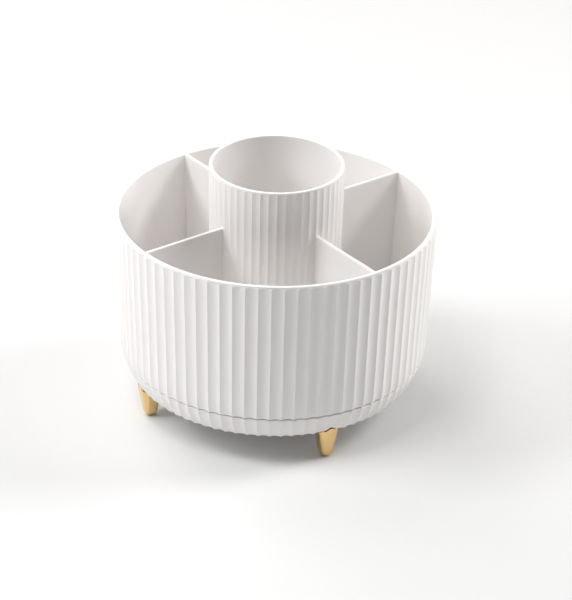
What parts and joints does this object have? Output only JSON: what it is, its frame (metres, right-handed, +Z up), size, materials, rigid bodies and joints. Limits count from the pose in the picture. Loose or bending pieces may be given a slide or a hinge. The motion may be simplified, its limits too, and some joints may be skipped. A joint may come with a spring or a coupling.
{
  "type": "rotating desk organizer",
  "caption": "Round fluted organizer bowl with four compartments and a tall centre cup that turns on a shallow footed base.",
  "frame": {"origin": "on the table under the spin axis, at the height the feet stand on", "axes": "+Z up along the spin axis; the compartments face +X, +Y, -X and -Y, and the dividers lie between them at 45 degrees"},
  "size_m": [0.161, 0.161, 0.13],
  "materials": {
    "white_shell": "white moulded plastic, satin",
    "gold_plating": "bright gold plating on plastic",
    "steel": "plain bright steel",
    "bush_plastic": "natural acetal",
    "cage_plastic": "natural nylon"
  },
  "bodies": {
    "base": {"base_dish": "white_shell", "hub_bush": "bush_plastic", "foot_1": "gold_plating", "foot_2": "gold_plating", "foot_3": "gold_plating", "foot_4": "gold_plating", "foot_screws": "steel"},
    "tray": {"tray_bowl": "white_shell", "centre_cup": "white_shell", "divider_1": "white_shell", "divider_2": "white_shell", "divider_3": "white_shell", "divider_4": "white_shell", "pivot_washer": "steel", "pivot_screw": "steel"},
    "cage": {"ball_cage": "cage_plastic"},
    "ball_1": {"ball_1": "steel"},
    "ball_2": {"ball_2": "steel"},
    "ball_3": {"ball_3": "steel"},
    "ball_4": {"ball_4": "steel"},
    "ball_5": {"ball_5": "steel"},
    "ball_6": {"ball_6": "steel"},
    "ball_7": {"ball_7": "steel"},
    "ball_8": {"ball_8": "steel"}
  },
  "joints": [
    {"name": "tray_spin", "type": "hinge", "parent": "base", "child": "tray", "pos_m": [0, 0, 0.02], "axis": [0, 0, 1], "continuous": true},
    {"name": "cage_spin", "type": "hinge", "parent": "base", "child": "cage", "pos_m": [0, 0, 0.0254], "axis": [0, 0, 1], "continuous": true},
    {"name": "ball_1_roll", "type": "hinge", "parent": "cage", "child": "ball_1", "pos_m": [0.03326, 0.01378, 0.0254], "axis": [0.9239, 0.3827, 0], "continuous": true},
    {"name": "ball_2_roll", "type": "hinge", "parent": "cage", "child": "ball_2", "pos_m": [0.01378, 0.03326, 0.0254], "axis": [0.3827, 0.9239, 0], "continuous": true},
    {"name": "ball_3_roll", "type": "hinge", "parent": "cage", "child": "ball_3", "pos_m": [-0.01378, 0.03326, 0.0254], "axis": [-0.3827, 0.9239, 0], "continuous": true},
    {"name": "ball_4_roll", "type": "hinge", "parent": "cage", "child": "ball_4", "pos_m": [-0.03326, 0.01378, 0.0254], "axis": [-0.9239, 0.3827, 0], "continuous": true},
    {"name": "ball_5_roll", "type": "hinge", "parent": "cage", "child": "ball_5", "pos_m": [-0.03326, -0.01378, 0.0254], "axis": [-0.9239, -0.3827, 0], "continuous": true},
    {"name": "ball_6_roll", "type": "hinge", "parent": "cage", "child": "ball_6", "pos_m": [-0.01378, -0.03326, 0.0254], "axis": [-0.3827, -0.9239, 0], "continuous": true},
    {"name": "ball_7_roll", "type": "hinge", "parent": "cage", "child": "ball_7", "pos_m": [0.01378, -0.03326, 0.0254], "axis": [0.3827, -0.9239, 0], "continuous": true},
    {"name": "ball_8_roll", "type": "hinge", "parent": "cage", "child": "ball_8", "pos_m": [0.03326, -0.01378, 0.0254], "axis": [0.9239, -0.3827, 0], "continuous": true}
  ],
  "couplings": [
    {"joint": "cage_spin", "follows": "tray_spin", "ratio": 0.5},
    {"joint": "ball_1_roll", "follows": "tray_spin", "ratio": -6},
    {"joint": "ball_2_roll", "follows": "tray_spin", "ratio": -6},
    {"joint": "ball_3_roll", "follows": "tray_spin", "ratio": -6},
    {"joint": "ball_4_roll", "follows": "tray_spin", "ratio": -6},
    {"joint": "ball_5_roll", "follows": "tray_spin", "ratio": -6},
    {"joint": "ball_6_roll", "follows": "tray_spin", "ratio": -6},
    {"joint": "ball_7_roll", "follows": "tray_spin", "ratio": -6},
    {"joint": "ball_8_roll", "follows": "tray_spin", "ratio": -6}
  ]
}
